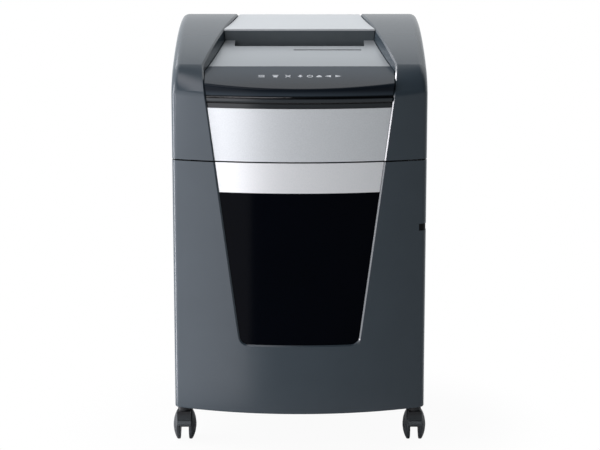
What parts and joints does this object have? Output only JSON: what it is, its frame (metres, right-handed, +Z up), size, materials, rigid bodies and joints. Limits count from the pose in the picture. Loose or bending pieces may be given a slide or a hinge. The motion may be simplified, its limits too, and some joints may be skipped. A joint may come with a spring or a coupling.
{
  "type": "paper shredder",
  "caption": "Floor-standing paper shredder with a sloping console between two towers, geared cutter rollers, a pull-out bin behind a dark window and twin-wheel casters.",
  "frame": {"origin": "on the floor, under the middle of the overall box", "axes": "X to the right seen from the front, Y to the rear, Z up; the front faces -Y"},
  "size_m": [0.45, 0.372, 0.7417],
  "materials": {
    "shell_grey": "moulded, fine satin",
    "silver_panel": "silver paint, satin",
    "control_gloss": "polished",
    "lip_black": "polished",
    "window_black": "smoked, polished",
    "dark_plastic": "moulded, matte",
    "caster_plastic": "moulded, matte",
    "cutter_steel": "ground",
    "frame_steel": "zinc plated",
    "bush_brass": "turned",
    "gear_nylon": "moulded, natural",
    "motor_paint": "black paint",
    "board_green": "solder mask"
  },
  "bodies": {
    "cabinet": {"base_tray": "dark_plastic", "left_side_panel": "shell_grey", "right_side_panel": "shell_grey", "rear_panel": "shell_grey", "rear_upper_panel": "shell_grey", "left_tower": "shell_grey", "right_tower": "shell_grey", "rear_top_panel": "silver_panel", "throat_wall": "dark_plastic", "feed_panel": "silver_panel", "control_panel": "control_gloss", "fascia_lip": "lip_black", "upper_fascia": "silver_panel", "feed_chute_front": "dark_plastic", "feed_chute_rear": "dark_plastic", "cutter_shelf": "frame_steel", "cutter_plate_left": "frame_steel", "cutter_plate_right": "frame_steel", "tie_rods": "frame_steel", "cutter_bushes": "bush_brass", "comb_front": "dark_plastic", "comb_rear": "dark_plastic", "idler_axle": "frame_steel", "motor_housing": "motor_paint", "gear_cover": "dark_plastic", "control_board": "board_green", "bin_switch": "dark_plastic", "bin_rails": "frame_steel", "power_inlet": "dark_plastic", "switch_housing": "dark_plastic"},
    "bin": {"bin_front": "shell_grey", "bin_band": "silver_panel", "bin_window": "window_black", "bin_tub": "dark_plastic", "bin_grip": "dark_plastic"},
    "rocker": {"rocker": "dark_plastic"},
    "cutter_front": {"cutter_roller_front": "cutter_steel", "sync_gear_front": "gear_nylon"},
    "cutter_rear": {"cutter_roller_rear": "cutter_steel", "sync_gear_rear": "gear_nylon", "drive_gear": "gear_nylon"},
    "idler": {"idler_gear": "gear_nylon"},
    "armature": {"armature": "cutter_steel"},
    "front_left_caster": {"front_left_caster_fork": "caster_plastic", "front_left_caster_axle": "frame_steel"},
    "front_left_wheel_left": {"front_left_wheel_left": "caster_plastic"},
    "front_left_wheel_right": {"front_left_wheel_right": "caster_plastic"},
    "front_right_caster": {"front_right_caster_fork": "caster_plastic", "front_right_caster_axle": "frame_steel"},
    "front_right_wheel_left": {"front_right_wheel_left": "caster_plastic"},
    "front_right_wheel_right": {"front_right_wheel_right": "caster_plastic"},
    "rear_left_caster": {"rear_left_caster_fork": "caster_plastic", "rear_left_caster_axle": "frame_steel"},
    "rear_left_wheel_left": {"rear_left_wheel_left": "caster_plastic"},
    "rear_left_wheel_right": {"rear_left_wheel_right": "caster_plastic"},
    "rear_right_caster": {"rear_right_caster_fork": "caster_plastic", "rear_right_caster_axle": "frame_steel"},
    "rear_right_wheel_left": {"rear_right_wheel_left": "caster_plastic"},
    "rear_right_wheel_right": {"rear_right_wheel_right": "caster_plastic"}
  },
  "joints": [
    {"name": "bin_slide", "type": "slide", "parent": "cabinet", "child": "bin", "axis": [0, -1, 0], "range_m": [0, 0.3]},
    {"name": "rocker_tilt", "type": "hinge", "parent": "cabinet", "child": "rocker", "pos_m": [0.026, 0.173, 0.556], "axis": [1, 0, 0], "range_deg": [0, 13]},
    {"name": "cutter_rear_spin", "type": "hinge", "parent": "cabinet", "child": "cutter_rear", "pos_m": [0, 0.051, 0.59], "axis": [1, 0, 0], "continuous": true},
    {"name": "cutter_front_spin", "type": "hinge", "parent": "cabinet", "child": "cutter_front", "pos_m": [0, -0.003, 0.59], "axis": [1, 0, 0], "continuous": true},
    {"name": "idler_spin", "type": "hinge", "parent": "cabinet", "child": "idler", "pos_m": [0.1435, 0.09369, 0.60064], "axis": [1, 0, 0], "continuous": true},
    {"name": "armature_spin", "type": "hinge", "parent": "cabinet", "child": "armature", "pos_m": [0.075, 0.12915, 0.59439], "axis": [1, 0, 0], "continuous": true},
    {"name": "front_left_swivel", "type": "hinge", "parent": "cabinet", "child": "front_left_caster", "pos_m": [-0.205, -0.122, 0.07], "axis": [0, 0, 1], "continuous": true},
    {"name": "front_left_wheel_left_spin", "type": "hinge", "parent": "front_left_caster", "child": "front_left_wheel_left", "pos_m": [-0.205, -0.104, 0.027], "axis": [1, 0, 0], "continuous": true},
    {"name": "front_left_wheel_right_spin", "type": "hinge", "parent": "front_left_caster", "child": "front_left_wheel_right", "pos_m": [-0.205, -0.104, 0.027], "axis": [1, 0, 0], "continuous": true},
    {"name": "front_right_swivel", "type": "hinge", "parent": "cabinet", "child": "front_right_caster", "pos_m": [0.205, -0.122, 0.07], "axis": [0, 0, 1], "continuous": true},
    {"name": "front_right_wheel_left_spin", "type": "hinge", "parent": "front_right_caster", "child": "front_right_wheel_left", "pos_m": [0.205, -0.104, 0.027], "axis": [1, 0, 0], "continuous": true},
    {"name": "front_right_wheel_right_spin", "type": "hinge", "parent": "front_right_caster", "child": "front_right_wheel_right", "pos_m": [0.205, -0.104, 0.027], "axis": [1, 0, 0], "continuous": true},
    {"name": "rear_left_swivel", "type": "hinge", "parent": "cabinet", "child": "rear_left_caster", "pos_m": [-0.205, 0.112, 0.07], "axis": [0, 0, 1], "continuous": true},
    {"name": "rear_left_wheel_left_spin", "type": "hinge", "parent": "rear_left_caster", "child": "rear_left_wheel_left", "pos_m": [-0.205, 0.13, 0.027], "axis": [1, 0, 0], "continuous": true},
    {"name": "rear_left_wheel_right_spin", "type": "hinge", "parent": "rear_left_caster", "child": "rear_left_wheel_right", "pos_m": [-0.205, 0.13, 0.027], "axis": [1, 0, 0], "continuous": true},
    {"name": "rear_right_swivel", "type": "hinge", "parent": "cabinet", "child": "rear_right_caster", "pos_m": [0.205, 0.112, 0.07], "axis": [0, 0, 1], "continuous": true},
    {"name": "rear_right_wheel_left_spin", "type": "hinge", "parent": "rear_right_caster", "child": "rear_right_wheel_left", "pos_m": [0.205, 0.13, 0.027], "axis": [1, 0, 0], "continuous": true},
    {"name": "rear_right_wheel_right_spin", "type": "hinge", "parent": "rear_right_caster", "child": "rear_right_wheel_right", "pos_m": [0.205, 0.13, 0.027], "axis": [1, 0, 0], "continuous": true}
  ],
  "couplings": [
    {"joint": "cutter_front_spin", "follows": "cutter_rear_spin", "ratio": -1},
    {"joint": "idler_spin", "follows": "cutter_rear_spin", "ratio": -2.1429},
    {"joint": "armature_spin", "follows": "cutter_rear_spin", "ratio": 6.4286}
  ]
}
